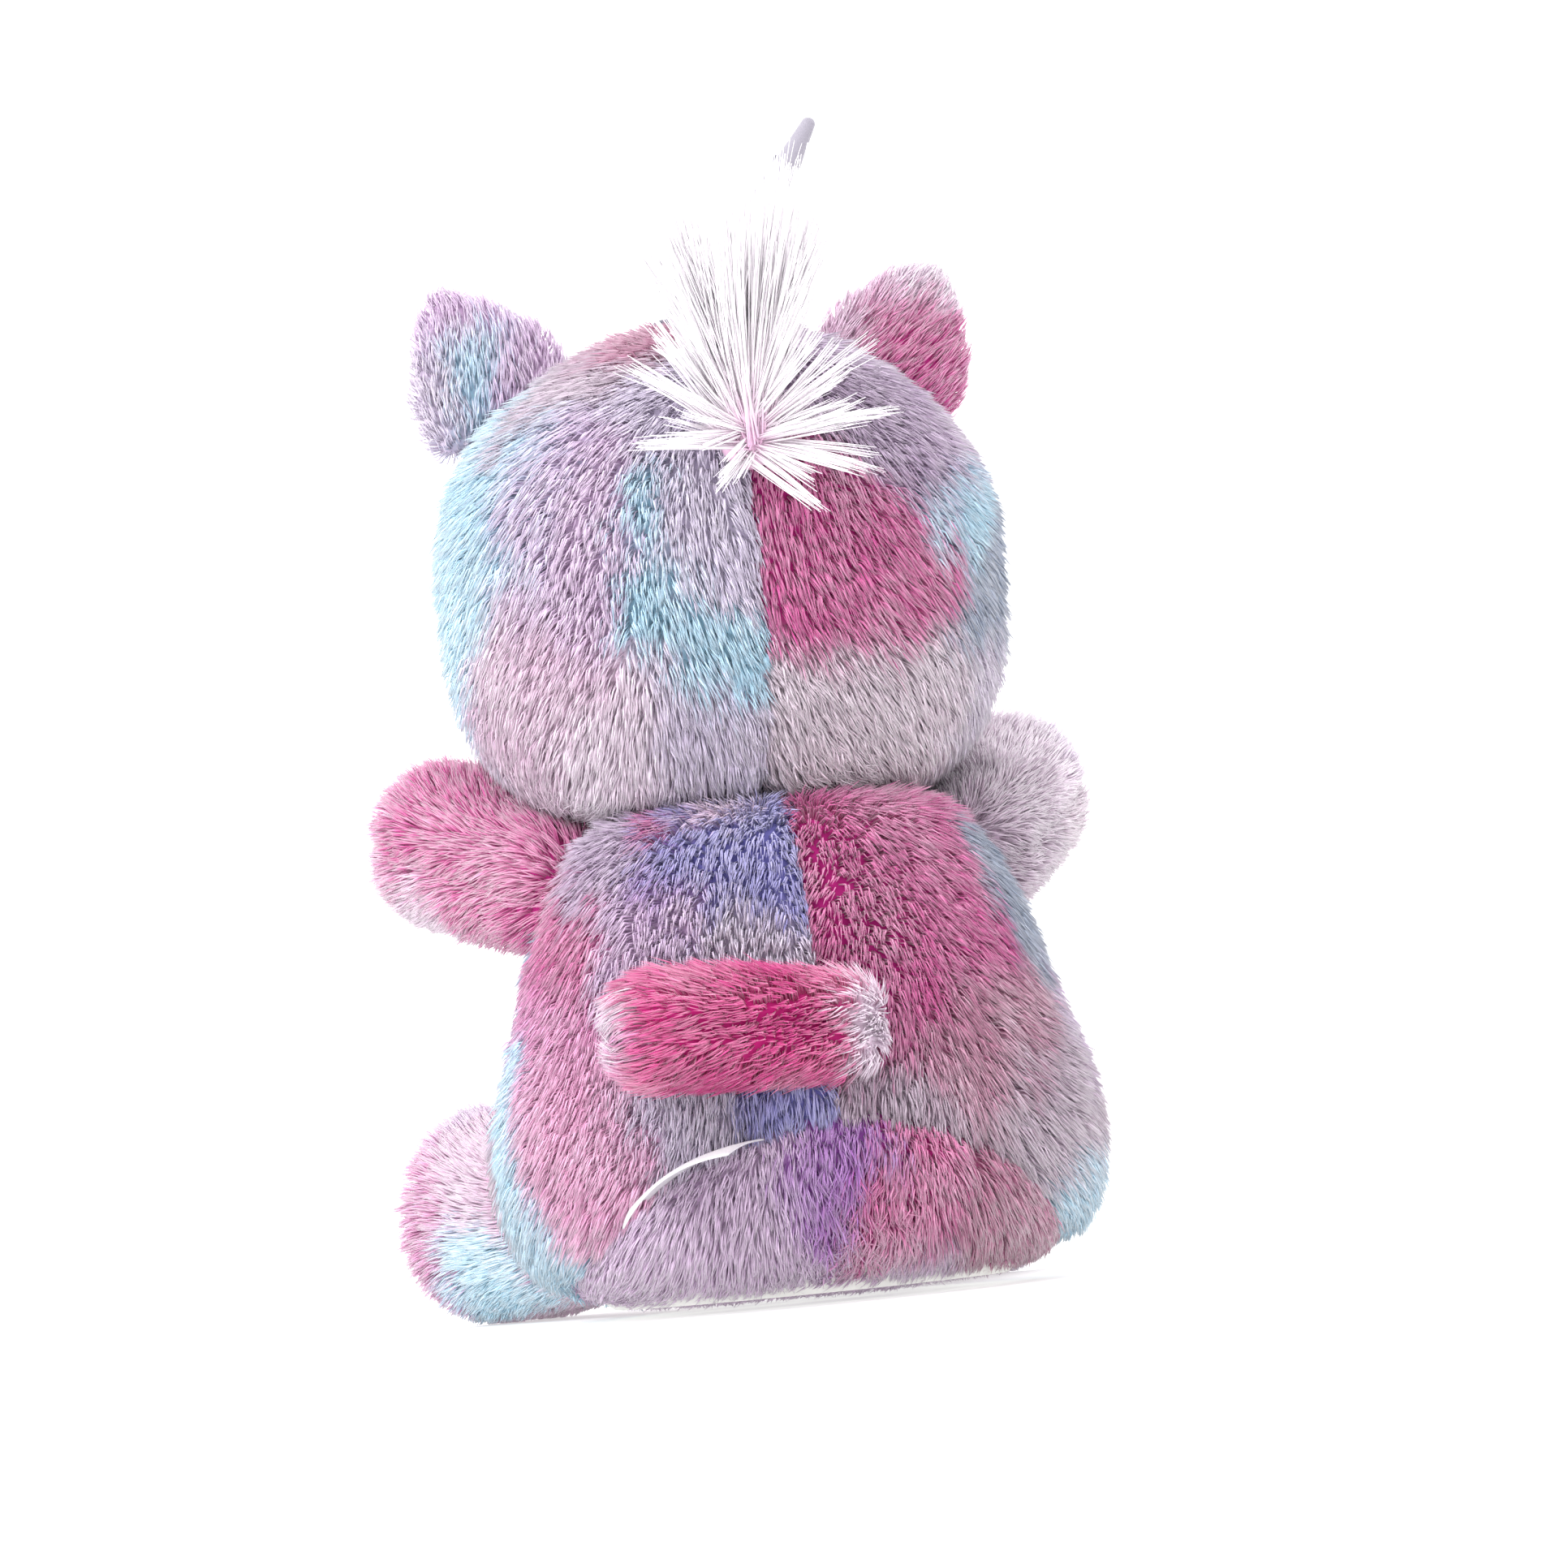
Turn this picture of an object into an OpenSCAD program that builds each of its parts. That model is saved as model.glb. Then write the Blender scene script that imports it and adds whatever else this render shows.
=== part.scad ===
// Seated plush unicorn, about 255 mm tall, sewn from long-pile fabric panels.
// Millimetres. +Z is up, the toy faces -Y, its left side is +X, and it sits on z = 0.
// Each fabric panel is a thin shell, and each filling is a solid just inside its panels.
// The head, arms, legs, tail, ears, horn and care label turn at their seams: each of them
// starts as a ball or a round hem at its pivot, with clearance around it.

/* [Body] */
// Half width of the body at its widest
torso_rx = 59.5; // [45:0.5:75]
// Half depth of the body at its widest
torso_ry = 50; // [38:1:62]
// Half height of the body's lower bulge
torso_rz = 42; // [36:1:58]
// Height of the top of the body, where the neck seam is
torso_top = 100; // [90:1:104]
// Thickness of the fabric backing with the roots of its pile
wall = 2; // [1:0.1:3]

/* [Head] */
// Half width of the head
head_rx = 56; // [44:1:66]
// Half depth of the head
head_ry = 50; // [40:1:60]
// Half height of the head
head_rz = 48; // [40:1:58]
// Height of the middle of the head
head_z = 155; // [145:1:165]
// How far the head sits toward the toy's left
head_x = 3.5; // [0:0.5:6]
// How far the muzzle sticks out of the face
muzzle_out = 16; // [8:1:24]
// Radius of an eye
eye_r = 7; // [4:0.5:10]

/* [Ears and horn] */
// Width of an ear
ear_w = 32; // [22:1:38]
// Height of an ear above its hem
ear_h = 28; // [20:1:36]
// How far the ears lean outward
ear_lean = 27; // [25:1:39]
// Length of the horn
horn_l = 62; // [40:1:75]
// Radius of the horn at its base
horn_r = 9.5; // [7:0.5:12]
// How far the horn leans to the toy's right
horn_lean = 32; // [0:1:36]

/* [Arms, legs and tail] */
// Length of an arm from the shoulder to the middle of its tip
arm_l = 40; // [30:1:50]
// Radius of an arm at its tip
arm_r = 15; // [11:0.5:17]
// Length of a leg from the hip to its sole
leg_l = 50; // [42:1:56]
// Radius of a leg near its sole
leg_r = 23.3; // [20:0.1:24]
// Length of the tail from its seam to the middle of its tip
tail_l = 37; // [30:1:55]
// Radius of the tail at its tip
tail_r = 9.8; // [7:0.1:12]

/* [Hidden] */
// Parts that share one fabric cut are told apart by the gap at their seam.
seam_gap = 0.3;
// The filling stops this far inside the fabric.
fill_gap = 0.2;
// A ball at a pivot has this much room in its socket.
ball_gap = 0.4;
// Larger than any side of the toy.
big = 400;
$fn = 96;

// The body is two ellipsoids: a wide seat and a narrower chest.
torso_z = torso_rz - 12;
chest_r = [torso_rx * 0.925, torso_ry * 0.9, 72];
chest_z = 44;
// The seam between the belly panel and the back panels.
side_seam_y = -1;
// The seam around the top of the seat panel is an arc of a large circle, seen from behind.
seat_seam_r = 60;
seat_seam_z = -23;

// The head is two ellipsoids, a skull and wide cheeks, over a flat neck seam.
head_c = [head_x, -8, head_z];
head_r = [head_rx, head_ry, head_rz];
cheek_c = head_c - [0, 0, 21];
cheek_r = [head_rx - 2, head_ry - 4, 36];
head_bottom = torso_top + 5.5;
face_seam_y = -16;
neck_pivot = [0, -4, torso_top + 3];
neck_ball_r = 12;
muzzle_r = [29, 24, 22];
muzzle_c = [head_c.x, head_c.y - head_ry - muzzle_out + muzzle_r.y, head_z - 13];
// Where an eye and an ear sit, as angles around and above the middle of the head.
eye_turn = 36;
eye_rise = 5;
eye_stem_r = 2;
washer_r = 8;
washer_h = 1.6;
stitch_h = 0.9;
ear_turn = 75;
ear_rise = 44;
ear_root_r = 3;
ear_root_off = 5.4;
ear_back_h = 2.4;
ear_lining_h = 1.6;
knot_r = 5.5;
knot_c = [head_c.x, 42, 173];
lock_l = 44;
horn_pivot = [head_c.x, -30, 201];
horn_tip_r = 1.6;
horn_wall = 1;
horn_cord_r = 0.8;
horn_cord_start = 6;
horn_cord_turns = 4;

// Pivots of the parts on the body, for the toy's left side.
shoulder = [45, -12, 91];
shoulder_r = 11.5;
shoulder_room = 2;
arm_dir = [17, -35, 13];
hip = [36, -44, leg_r - 0.3];
hip_r = 18;
hip_room = 1.6;
leg_dir = [13, -32, 0];
leg_edge_r = 8;
sole_r = leg_r - leg_edge_r + 1.5;
tail_pivot = [-2, 51.5, 54.5];
tail_root_r = 8.2;
tail_room = 2;
tail_out = 12;
tail_rise = 3;
pouch_c = [0, 3, 27];
pouch_r = 20;
pouch_wall = 0.8;

// The care label is sewn into the seat seam by its long edge.
label_w = 26;
label_l = 30;
label_h = 0.6;
label_hem_r = 0.9;
label_pivot = [26.5, 46.6, 29];
label_turn = -24;
label_fall = 20.8;

// Which node is drawn.

// Colours of the materials.
magenta = [0.80, 0.42, 0.60];
lilac = [0.72, 0.66, 0.78];
sky = [0.66, 0.82, 0.90];
pale_pink = [0.90, 0.80, 0.87];
cream = [0.97, 0.95, 0.96];
fill_white = [0.94, 0.94, 0.92];
eye_black = [0.05, 0.04, 0.05];
silver = [0.86, 0.86, 0.90];
stitch_pink = [0.62, 0.32, 0.46];

// ---- Shapes that several parts share ----

// An ellipsoid by its three half lengths.
module ellipsoid(r) scale(r) sphere(r = 1);

// Everything on the side of the plane x = at (or y, or z) that the sign names.
module side_of(axis, at, sign) {
  off = sign * big / 2 + at;
  translate([axis == 0 ? off : 0, axis == 1 ? off : 0, axis == 2 ? off : 0])
    cube(big, center = true);
}

// Turns the local +Z axis along a direction.
module along(dir) {
  rotate([0, acos(dir.z / norm(dir)), atan2(dir.y, dir.x)]) children();
}

// Draws a left-hand part on the side that the sign names.
module on_side(sign) {
  if (sign > 0) children();
  else mirror([1, 0, 0]) children();
}

// The same about the middle of the head.
module on_head_side(sign) {
  if (sign > 0) children();
  else translate([2 * head_c.x, 0, 0]) mirror([1, 0, 0]) children();
}

// A stuffed limb along +Z: a ball at the pivot, a taper, and a round tip.
module limb_form(root_r, end_r, length, inset) {
  rotate_extrude()
    intersection() {
      union() {
        circle(r = root_r - inset);
        polygon([[0, 0], [root_r - inset, 0], [end_r - inset, length], [0, length]]);
        translate([0, length]) circle(r = end_r - inset);
      }
      translate([0, -big / 2]) square([big / 2, big]);
    }
}

// ---- Body ----

// The body's shape, drawn smaller by the inset, with a flat seat and a flat neck seam.
module torso_form(inset) {
  intersection() {
    union() {
      translate([0, 0, torso_z]) ellipsoid([torso_rx - inset, torso_ry - inset, torso_rz - inset]);
      intersection() {
        translate([0, 0, chest_z])
          ellipsoid([chest_r.x - inset, chest_r.y - inset, chest_r.z - inset]);
        side_of(2, torso_z, 1);
      }
    }
    translate([-big / 2, -big / 2, inset]) cube([big, big, torso_top - 2 * inset]);
  }
}

// Room in the body for every ball that turns in it.
module torso_sockets() {
  translate(neck_pivot) sphere(r = neck_ball_r + ball_gap);
  translate(tail_pivot) sphere(r = tail_root_r + tail_room);
  for (sign = [-1, 1]) {
    translate([sign * shoulder.x, shoulder.y, shoulder.z]) sphere(r = shoulder_r + shoulder_room);
    translate([sign * hip.x, hip.y, hip.z]) sphere(r = hip_r + hip_room);
  }
}

// The body's fabric before it is cut into panels.
module torso_skin() {
  difference() {
    torso_form(0);
    torso_form(wall);
    torso_sockets();
  }
}

// Inside the seat seam, or inside a circle larger or smaller by the margin.
module seat_circle(margin) {
  translate([0, 0, seat_seam_z]) rotate([90, 0, 0])
    cylinder(r = seat_seam_r + margin, h = big, center = true);
}

module torso_back(sign) {
  color(sign > 0 ? lilac : magenta)
    difference() {
      intersection() {
        torso_skin();
        side_of(1, side_seam_y, 1);
        side_of(0, sign * seam_gap / 2, sign);
      }
      seat_circle(seam_gap / 2);
    }
}

module torso_back_left() torso_back(1);
module torso_back_right() torso_back(-1);

module seat_panel() {
  color(lilac)
    difference() {
      intersection() {
        torso_form(0);
        side_of(1, side_seam_y, 1);
        seat_circle(-seam_gap / 2);
      }
      torso_form(wall);
    }
}

module belly_panel() {
  color(pale_pink)
    intersection() {
      torso_skin();
      side_of(1, side_seam_y - seam_gap, -1);
    }
}

module torso_stuffing() {
  color(fill_white)
    difference() {
      torso_form(wall + fill_gap);
      torso_sockets();
      translate(pouch_c) sphere(r = pouch_r + fill_gap);
    }
}

module pellet_pouch() {
  color(cream)
    translate(pouch_c) difference() {
      sphere(r = pouch_r);
      sphere(r = pouch_r - pouch_wall);
    }
}

module pellets() {
  color(silver) translate(pouch_c) sphere(r = pouch_r - pouch_wall - fill_gap);
}

// A hem along the seam and a thin flap that sticks out from it.
module care_label() {
  color(cream)
    translate(label_pivot) rotate([0, 0, label_turn]) rotate([0, label_fall, 0]) {
      rotate([0, 90, 0]) cylinder(r = label_hem_r, h = label_w, center = true);
      translate([-label_w / 2, 0, -label_h / 2]) cube([label_w, label_l, label_h]);
    }
}

// ---- Head ----

module neck_stuffing() {
  color(fill_white) translate(neck_pivot) sphere(r = neck_ball_r);
}

module head_form(inset) {
  intersection() {
    union() {
      translate(head_c) ellipsoid([head_r.x - inset, head_r.y - inset, head_r.z - inset]);
      translate(cheek_c) ellipsoid([cheek_r.x - inset, cheek_r.y - inset, cheek_r.z - inset]);
    }
    side_of(2, head_bottom + inset, 1);
  }
}

module muzzle_form(inset) {
  translate(muzzle_c) ellipsoid([muzzle_r.x - inset, muzzle_r.y - inset, muzzle_r.z - inset]);
}

// Room in the head for the neck, the horn's root and the knot of the mane.
module head_sockets() {
  translate(neck_pivot) sphere(r = neck_ball_r + ball_gap);
  translate(horn_pivot) sphere(r = horn_r + ball_gap);
  translate(knot_c) sphere(r = knot_r + ball_gap);
}

module head_skin() {
  difference() {
    head_form(0);
    head_form(wall);
    head_sockets();
  }
}

// A point of the head's surface, and the direction straight out of it there.
function head_point(turn, rise) = head_c +
  [head_r.x * sin(turn) * cos(rise), -head_r.y * cos(turn) * cos(rise), head_r.z * sin(rise)];
function head_out(turn, rise) =
  [sin(turn) * cos(rise) / head_r.x, -cos(turn) * cos(rise) / head_r.y, sin(rise) / head_r.z];

module head_back(sign) {
  color(sign > 0 ? sky : magenta)
    intersection() {
      head_skin();
      side_of(1, face_seam_y, 1);
      side_of(0, head_c.x + sign * seam_gap / 2, sign);
    }
}

module head_back_left() head_back(1);
module head_back_right() head_back(-1);

// Puts its children at the left eye, with +Z straight out of the face.
module at_eye() {
  translate(head_point(eye_turn, eye_rise)) along(head_out(eye_turn, eye_rise)) children();
}

module face_panel() {
  color(pale_pink)
    difference() {
      intersection() {
        head_skin();
        side_of(1, face_seam_y - seam_gap, -1);
      }
      muzzle_form(-seam_gap);
      for (sign = [-1, 1]) on_head_side(sign) at_eye()
        cylinder(r = eye_stem_r + fill_gap, h = 6 * wall, center = true);
    }
}

// The muzzle's edge fills the opening in the face panel, down to the filling.
module muzzle_cover() {
  color(pale_pink)
    difference() {
      muzzle_form(0);
      muzzle_form(wall);
      head_form(wall);
    }
}

// Length of an eye's stem, from the fabric to just past the washer.
function stem_depth() = wall + washer_h + 3;

module eye(sign) {
  color(eye_black)
    on_head_side(sign) at_eye() rotate_extrude() {
      intersection() {
        translate([0, -eye_r * 0.45 + fill_gap]) circle(r = eye_r * 1.097);
        translate([0, 0.6]) square([eye_r * 2, eye_r * 2]);
      }
      translate([0, -stem_depth()]) square([eye_stem_r, stem_depth() + 1.2]);
    }
}

module eye_left() eye(1);
module eye_right() eye(-1);

module eye_washer(sign) {
  color(cream)
    on_head_side(sign) at_eye() translate([0, 0, -wall - washer_h - 0.9]) difference() {
      cylinder(r = washer_r, h = washer_h);
      translate([0, 0, -1]) cylinder(r = eye_stem_r + 0.1, h = washer_h + 2);
    }
}

module eye_washer_left() eye_washer(1);
module eye_washer_right() eye_washer(-1);

module head_stuffing() {
  color(fill_white)
    difference() {
      union() {
        head_form(wall + fill_gap);
        muzzle_form(wall + fill_gap);
      }
      head_sockets();
      for (sign = [-1, 1]) on_head_side(sign) at_eye() {
        translate([0, 0, -wall - washer_h - 1.4]) cylinder(r = washer_r + 0.6, h = 3 * washer_h);
        translate([0, 0, -stem_depth() - 0.4]) cylinder(r = eye_stem_r + 0.4, h = stem_depth());
      }
    }
}

// Thread that stands a little way off the muzzle's surface.
module muzzle_thread() {
  difference() {
    muzzle_form(-stitch_h - fill_gap);
    muzzle_form(-fill_gap);
  }
}

module nostril(sign) {
  color(stitch_pink)
    intersection() {
      muzzle_thread();
      translate([muzzle_c.x + sign * 9, muzzle_c.y - muzzle_r.y, muzzle_c.z + 4]) rotate([90, 0, 0])
        cylinder(r = 2.4, h = muzzle_r.y, center = true);
    }
}

module nostril_left() nostril(1);
module nostril_right() nostril(-1);

// A smile: the lower third of a ring, seen from the front.
module mouth_stitch() {
  smile_r = 13;
  color(stitch_pink)
    intersection() {
      muzzle_thread();
      translate([muzzle_c.x, muzzle_c.y - muzzle_r.y, muzzle_c.z + 3]) rotate([90, 0, 0]) difference() {
        cylinder(r = smile_r + 0.8, h = muzzle_r.y, center = true);
        cylinder(r = smile_r - 0.8, h = big, center = true);
      }
      side_of(2, muzzle_c.z - 3, -1);
    }
}

module mane_knot() {
  color(cream) translate(knot_c) sphere(r = knot_r);
}

// Locks of stiff fibre that fan out from the knot, up and to both sides.
module mane_tuft() {
  fan = [[-66, 14, 0.66], [-44, 20, 0.80], [-26, 8, 0.92], [-10, 18, 1.0], [6, 4, 1.06],
    [20, 16, 0.98], [38, 8, 0.86], [60, 18, 0.74], [112, 26, 0.36], [-128, 24, 0.36]];
  color(cream)
    difference() {
      translate(knot_c + [0, 1, 2]) {
        sphere(r = knot_r + 3.5);
        for (lock = fan)
          rotate([0, lock[0], 0]) rotate([-lock[1], 0, 0])
            cylinder(r1 = 4.6, r2 = 1.6, h = lock_l * lock[2]);
      }
      translate(knot_c) sphere(r = knot_r + fill_gap);
      head_form(-ball_gap);
    }
}

// ---- Horn ----

// Puts its children at the horn's pivot, with +Z along the horn.
module at_horn() {
  translate(horn_pivot) rotate([0, -horn_lean, 0]) children();
}

module horn_form(inset) {
  rotate_extrude()
    intersection() {
      union() {
        circle(r = horn_r - inset);
        polygon([[0, 0], [horn_r - inset, 0], [horn_tip_r - inset * 0.6, horn_l - inset],
          [0, horn_l - inset]]);
        translate([0, horn_l - inset]) circle(r = horn_tip_r - inset * 0.6);
      }
      translate([0, -big / 2]) square([big / 2, big]);
    }
}

module horn_cover() {
  color(silver)
    at_horn() difference() {
      horn_form(0);
      horn_form(horn_wall);
    }
}

module horn_stuffing() {
  color(fill_white) at_horn() horn_form(horn_wall + fill_gap);
}

// How wide the horn is at a distance from its pivot.
function horn_r_at(h) = horn_r - (horn_r - horn_tip_r) * h / horn_l;

// A cord wound around the horn from its base nearly to its tip.
module horn_cord() {
  wound = horn_l * 0.75;
  start_r = horn_r_at(horn_cord_start) + 0.15;
  end_r = horn_r_at(horn_cord_start + wound) + 0.15;
  color(cream)
    at_horn() translate([0, 0, horn_cord_start])
      linear_extrude(height = wound, twist = -360 * horn_cord_turns, scale = end_r / start_r,
        slices = 40 * horn_cord_turns, $fn = 10)
        translate([start_r + horn_cord_r, 0]) circle(r = horn_cord_r);
}

// ---- Ears ----

// Puts its children at the left ear's hem, with +Z up the ear and -Y out of its lining.
module at_ear() {
  out = head_out(ear_turn, ear_rise);
  translate(head_point(ear_turn, ear_rise) + ear_root_off * out / norm(out))
    rotate([0, ear_lean, 0]) children();
}

// The outline of an ear above its hem: two arcs that meet at a point, trimmed by the margin.
module ear_outline(margin) {
  arc_r = 20;
  ear_mid = ear_h - sqrt(pow(arc_r, 2) - pow(arc_r - ear_w / 2, 2));
  intersection() {
    translate([ear_w / 2 - arc_r, ear_mid]) circle(r = arc_r - margin);
    translate([arc_r - ear_w / 2, ear_mid]) circle(r = arc_r - margin);
    translate([-ear_w, margin]) square([2 * ear_w, 2 * ear_h]);
  }
}

module ear_back(sign) {
  color(sign > 0 ? lilac : magenta)
    on_head_side(sign) at_ear() {
      rotate([0, 90, 0]) cylinder(r = ear_root_r, h = ear_w / 2, center = true);
      rotate([90, 0, 0]) translate([0, 0, -ear_back_h]) linear_extrude(ear_back_h) ear_outline(0);
    }
}

module ear_left_back() ear_back(1);
module ear_right_back() ear_back(-1);

module ear_lining(sign) {
  color(pale_pink)
    on_head_side(sign) at_ear() rotate([90, 0, 0]) translate([0, 0, fill_gap])
      linear_extrude(ear_lining_h) ear_outline(ear_root_r + fill_gap);
}

module ear_left_lining() ear_lining(1);
module ear_right_lining() ear_lining(-1);

// ---- Arms ----

// Puts its children at a shoulder, with +Z down the arm.
module at_shoulder(sign) on_side(sign) translate(shoulder) along(arm_dir) children();

module arm_form(inset) limb_form(shoulder_r, arm_r, arm_l, inset);

// One half of an arm's fabric: half 1 is its top, and half -1 its underside.
module arm_half(sign, half) {
  color(sign > 0 ? magenta : pale_pink)
    at_shoulder(sign) difference() {
      arm_form(0);
      arm_form(wall);
      side_of(0, -half * seam_gap / 2, half);
    }
}

// At a shoulder the local -X axis is the upper side.
module arm_left_upper() arm_half(1, 1);
module arm_left_under() arm_half(1, -1);
module arm_right_upper() arm_half(-1, 1);
module arm_right_under() arm_half(-1, -1);

module arm_stuffing(sign) {
  color(fill_white) at_shoulder(sign) arm_form(wall + fill_gap);
}

module arm_left_stuffing() arm_stuffing(1);
module arm_right_stuffing() arm_stuffing(-1);

// ---- Legs ----

// A leg along +Z: a ball at the hip, a taper, and a flat end with a round edge.
module leg_form(inset) {
  edge = leg_edge_r - inset;
  rotate_extrude()
    intersection() {
      union() {
        circle(r = hip_r - inset);
        polygon([[0, 0], [hip_r - inset, 0], [leg_r - inset, leg_l - leg_edge_r],
          [0, leg_l - leg_edge_r]]);
        translate([leg_r - leg_edge_r, leg_l - leg_edge_r]) circle(r = edge);
        square([leg_r - leg_edge_r, leg_l - inset]);
      }
      translate([0, -big / 2]) square([big / 2, big]);
    }
}

// Puts its children at a hip, with +Z down the leg.
module at_hip(sign) on_side(sign) translate(hip) along(leg_dir) children();

// The part of a leg that its flat contact with the floor leaves, raised by the inset.
module above_floor(inset) {
  intersection() {
    children();
    side_of(2, inset, 1);
  }
}

// One half of a leg's fabric: half 1 faces away from the other leg, and half -1 toward it.
module leg_half(sign, half) {
  color(pale_pink)
    difference() {
      above_floor(0) at_hip(sign) leg_form(0);
      above_floor(wall) at_hip(sign) leg_form(wall);
      at_hip(sign) {
        side_of(1, half * seam_gap / 2, -half);
        translate([0, 0, leg_l - 2 * wall]) cylinder(r = sole_r + seam_gap, h = 4 * wall);
      }
    }
}

module leg_left_outer() leg_half(1, 1);
module leg_left_inner() leg_half(1, -1);
module leg_right_outer() leg_half(-1, 1);
module leg_right_inner() leg_half(-1, -1);

module leg_sole(sign) {
  color(pale_pink)
    at_hip(sign) translate([0, 0, leg_l - wall]) cylinder(r = sole_r, h = wall);
}

module leg_left_sole() leg_sole(1);
module leg_right_sole() leg_sole(-1);

module leg_stuffing(sign) {
  color(fill_white)
    above_floor(wall + fill_gap) at_hip(sign) leg_form(wall + fill_gap);
}

module leg_left_stuffing() leg_stuffing(1);
module leg_right_stuffing() leg_stuffing(-1);

// ---- Tail ----

// Puts its children at the tail's seam, with +Z down the tail.
module at_tail() {
  translate(tail_pivot) rotate([0, 0, tail_out]) rotate([0, 90 - tail_rise, 0]) children();
}

module tail_form(inset) limb_form(tail_root_r, tail_r, tail_l, inset);

// One half of the tail's fabric: half 1 is its top, and half -1 its underside.
module tail_half(half) {
  color(magenta)
    at_tail() difference() {
      tail_form(0);
      tail_form(wall);
      side_of(0, -half * seam_gap / 2, half);
    }
}

// At the tail the local -X axis is the upper side.
module tail_upper() tail_half(1);
module tail_under() tail_half(-1);

module tail_stuffing() {
  color(fill_white) at_tail() tail_form(wall + fill_gap);
}

// ---- Everything, by node ----

torso_back_left();
torso_back_right();
seat_panel();
belly_panel();
torso_stuffing();
pellet_pouch();
pellets();
care_label();
neck_stuffing();
head_back_left();
head_back_right();
face_panel();
muzzle_cover();
head_stuffing();
eye_left();
eye_right();
eye_washer_left();
eye_washer_right();
nostril_left();
nostril_right();
mouth_stitch();
mane_tuft();
mane_knot();
horn_cover();
horn_stuffing();
horn_cord();
ear_left_back();
ear_left_lining();
ear_right_back();
ear_right_lining();
arm_left_upper();
arm_left_under();
arm_left_stuffing();
arm_right_upper();
arm_right_under();
arm_right_stuffing();
leg_left_outer();
leg_left_inner();
leg_left_sole();
leg_left_stuffing();
leg_right_outer();
leg_right_inner();
leg_right_sole();
leg_right_stuffing();
tail_upper();
tail_under();
tail_stuffing();
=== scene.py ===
"""The looks of a seated tie-dyed plush unicorn: padded skins, pile, mane, horn, light and camera.

Shapes are worked out in millimetres in the CAD frame and become metres when a mesh is made.
"""

import math

import bmesh
import bpy
import numpy as np
from mathutils import Matrix, Vector
from mathutils.kdtree import KDTree


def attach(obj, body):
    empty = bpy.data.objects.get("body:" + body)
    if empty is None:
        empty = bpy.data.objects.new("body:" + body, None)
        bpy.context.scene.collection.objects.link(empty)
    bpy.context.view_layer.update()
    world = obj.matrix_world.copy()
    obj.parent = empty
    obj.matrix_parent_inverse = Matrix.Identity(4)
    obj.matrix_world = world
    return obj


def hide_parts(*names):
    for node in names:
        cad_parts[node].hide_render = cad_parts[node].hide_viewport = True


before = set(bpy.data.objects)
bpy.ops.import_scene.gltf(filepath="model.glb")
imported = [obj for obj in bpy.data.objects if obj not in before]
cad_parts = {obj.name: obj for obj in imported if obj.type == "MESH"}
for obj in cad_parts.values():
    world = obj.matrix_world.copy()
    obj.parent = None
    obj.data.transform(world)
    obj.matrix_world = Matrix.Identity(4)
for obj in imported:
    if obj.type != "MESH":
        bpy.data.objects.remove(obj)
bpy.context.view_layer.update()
rng = np.random.default_rng(741)

MM = 0.001

# ---- Sizes of the toy, the same as in its CAD ----
HEAD_X = 3.5
HEAD_C, HEAD_R = np.array([HEAD_X, -8, 155]), np.array([56, 50, 48])
CHEEK_C, CHEEK_R = np.array([HEAD_X, -8, 134]), np.array([54, 46, 36])
MUZZLE_C, MUZZLE_R = np.array([HEAD_X, -50, 142]), np.array([29, 24, 22])
SEAT_C, SEAT_R = np.array([0, 0, 30]), np.array([59.5, 50, 42])
CHEST_C, CHEST_R = np.array([0, 0, 44]), np.array([55, 45, 72])
TORSO_TOP, HEAD_BOTTOM, SEAT_BOTTOM = 100, 105.5, 4
SIDE_SEAM_Y, FACE_SEAM_Y = -1, -16
SEAT_SEAM_Z, SEAT_SEAM_R = -23, 60
SHOULDER, ARM_DIR, ARM_L, ARM_R0, ARM_R1 = (45, -12, 91), (17, -35, 13), 40, 11.5, 15
HIP, LEG_DIR, LEG_L, LEG_R0, LEG_R1 = (36, -44, 23), (13, -32, 0), 50, 18, 23.3
LEG_EDGE, LEG_BOTTOM = 9, 0.6
SOLE_R, SOLE_DEPTH = 16.8, 2.5
TAIL, TAIL_DIR = (-2, 51.5, 54.5), (0.977, 0.208, 0.052)
TAIL_L, TAIL_R0, TAIL_R1 = 37, 8.2, 9.8
NECK, NECK_R = (0, -4, 103), 12
HORN, HORN_R = (HEAD_X, -30, 201), 9.5
KNOT = (HEAD_X, 42, 173)
EAR, EAR_LEAN, EAR_W, EAR_H = (HEAD_X + 41, -18.3, 193), 27, 32, 28
LABEL, LABEL_TURN, LABEL_FALL, LABEL_W, LABEL_L = (26.5, 46.6, 29), -24, 20.8, 26, 30
EYE_AT, EYE_R = (32.8, -48.3, 159.2), 7.4  # from the middle of the head, on either side

# How much wider than its limb each socket is, and the place there that grows no pile.
SOCKET_ROOM = {"shoulder": 1.5, "hip": 1.2, "tail": 1.6, "neck": 0.4, "horn": 0.6}
BARE_ROOM = {"shoulder": 2, "hip": 1.6, "tail": 1, "neck": 1, "horn": 1.2}
SOCKET_EDGE = 2  # how softly a skin turns into a socket

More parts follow.
